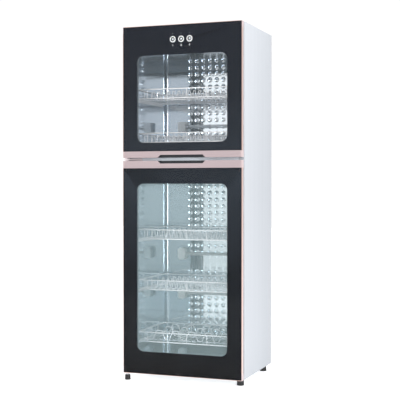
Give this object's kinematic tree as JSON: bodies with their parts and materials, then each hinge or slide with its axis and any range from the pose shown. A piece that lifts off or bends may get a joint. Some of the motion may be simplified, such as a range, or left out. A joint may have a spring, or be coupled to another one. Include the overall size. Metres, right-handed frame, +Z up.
{
  "type": "dish sterilizer cabinet",
  "caption": "Tall two-door dish sterilizer cabinet: framed black glass doors with windows, push buttons, polished steel chambers with sliding wire racks, lamp and heater tubes.",
  "frame": {"origin": "on the floor under the middle of the whole cabinet", "axes": "+X to the cabinet's right as seen by someone facing its doors, +Y from the doors to the back, +Z up"},
  "size_m": [0.54, 0.4444, 1.529],
  "materials": {
    "shell_paint": "satin white powder coat",
    "beam_paint": "satin grey",
    "zinc_sheet": "matt zinc-coated sheet",
    "polished_liner": "bright polished stainless steel",
    "embossed_liner": "bright embossed stainless steel",
    "insulation_board": "rigid foam",
    "rack_wire": "bright plated wire",
    "lamp_glass": "clear lamp tube",
    "white_plastic": "satin",
    "quartz_glass": "frosted quartz tube",
    "ceramic": "unglazed ceramic",
    "grey_plastic": "matt",
    "black_plastic": "matt",
    "hinge_steel": "satin",
    "screw_steel": "bright",
    "foot_rubber": "matt",
    "door_glass": "clear tempered glass",
    "black_enamel": "black back print",
    "rose_aluminium": "rose anodised, satin",
    "rose_plastic": "rose satin",
    "frame_plastic": "matt dark grey",
    "gasket_rubber": "soft grey",
    "bush_plastic": "matt",
    "button_chrome": "bright",
    "button_plastic": "glossy",
    "board_laminate": "satin",
    "light_pipe": "clear"
  },
  "bodies": {
    "cabinet": {"left_side_panel": "shell_paint", "right_side_panel": "shell_paint", "top_panel": "shell_paint", "back_panel": "zinc_sheet", "base_pan": "zinc_sheet", "middle_beam": "beam_paint", "upper_liner_left": "polished_liner", "upper_liner_right": "polished_liner", "upper_liner_back": "embossed_liner", "upper_liner_ceiling": "polished_liner", "upper_liner_floor": "polished_liner", "lower_liner_left": "polished_liner", "lower_liner_right": "polished_liner", "lower_liner_back": "embossed_liner", "lower_liner_ceiling": "polished_liner", "lower_liner_floor": "polished_liner", "insulation": "insulation_board", "upper_rack_runners": "rack_wire", "lower_rack_runners": "rack_wire", "ozone_lamp": "lamp_glass", "lamp_sockets": "white_plastic", "quartz_heaters": "quartz_glass", "heater_holders": "ceramic", "control_box": "grey_plastic", "mains_inlet": "black_plastic", "top_hinge_bracket": "hinge_steel", "middle_hinge_bracket": "hinge_steel", "bottom_hinge_bracket": "hinge_steel", "cabinet_screws": "screw_steel", "feet": "foot_rubber", "hinge_foot": "foot_rubber"},
    "upper_door": {"upper_door_glass": "door_glass", "upper_door_black_print": "black_enamel", "upper_door_handle": "rose_aluminium", "upper_door_frame": "rose_aluminium", "upper_door_end_caps": "rose_plastic", "upper_door_inner_frame": "frame_plastic", "upper_door_gasket": "gasket_rubber", "upper_door_hinge_bushes": "bush_plastic", "button_bezels": "button_chrome", "switch_board": "board_laminate", "light_pipes": "light_pipe"},
    "lower_door": {"lower_door_glass": "door_glass", "lower_door_black_print": "black_enamel", "lower_door_handle": "rose_aluminium", "lower_door_frame": "rose_aluminium", "lower_door_end_caps": "rose_plastic", "lower_door_inner_frame": "frame_plastic", "lower_door_gasket": "gasket_rubber", "lower_door_hinge_bushes": "bush_plastic"},
    "upper_rack_high": {"upper_rack_high": "rack_wire"},
    "upper_rack_low": {"upper_rack_low": "rack_wire"},
    "lower_rack_high": {"lower_rack_high": "rack_wire"},
    "lower_rack_middle": {"lower_rack_middle": "rack_wire"},
    "lower_rack_low": {"lower_rack_low": "rack_wire"},
    "left_button": {"left_button": "button_plastic"},
    "middle_button": {"middle_button": "button_plastic"},
    "right_button": {"right_button": "button_plastic"}
  },
  "joints": [
    {"name": "upper_door_hinge", "type": "hinge", "parent": "cabinet", "child": "upper_door", "pos_m": [-0.259, -0.20725, 1.24285], "axis": [0, 0, -1], "range_deg": [0, 110]},
    {"name": "lower_door_hinge", "type": "hinge", "parent": "cabinet", "child": "lower_door", "pos_m": [-0.259, -0.20725, 0.48935], "axis": [0, 0, -1], "range_deg": [0, 110]},
    {"name": "left_button_press", "type": "slide", "parent": "upper_door", "child": "left_button", "axis": [0, 1, 0], "range_m": [0, 0.0025], "stiffness_N_per_m": 300, "springref_m": -0.002},
    {"name": "middle_button_press", "type": "slide", "parent": "upper_door", "child": "middle_button", "axis": [0, 1, 0], "range_m": [0, 0.0025], "stiffness_N_per_m": 300, "springref_m": -0.002},
    {"name": "right_button_press", "type": "slide", "parent": "upper_door", "child": "right_button", "axis": [0, 1, 0], "range_m": [0, 0.0025], "stiffness_N_per_m": 300, "springref_m": -0.002},
    {"name": "upper_rack_high_slide", "type": "slide", "parent": "cabinet", "child": "upper_rack_high", "axis": [0, -1, 0], "range_m": [0, 0.03]},
    {"name": "upper_rack_low_slide", "type": "slide", "parent": "cabinet", "child": "upper_rack_low", "axis": [0, -1, 0], "range_m": [0, 0.03]},
    {"name": "lower_rack_high_slide", "type": "slide", "parent": "cabinet", "child": "lower_rack_high", "axis": [0, -1, 0], "range_m": [0, 0.03]},
    {"name": "lower_rack_middle_slide", "type": "slide", "parent": "cabinet", "child": "lower_rack_middle", "axis": [0, -1, 0], "range_m": [0, 0.03]},
    {"name": "lower_rack_low_slide", "type": "slide", "parent": "cabinet", "child": "lower_rack_low", "axis": [0, -1, 0], "range_m": [0, 0.03]}
  ]
}
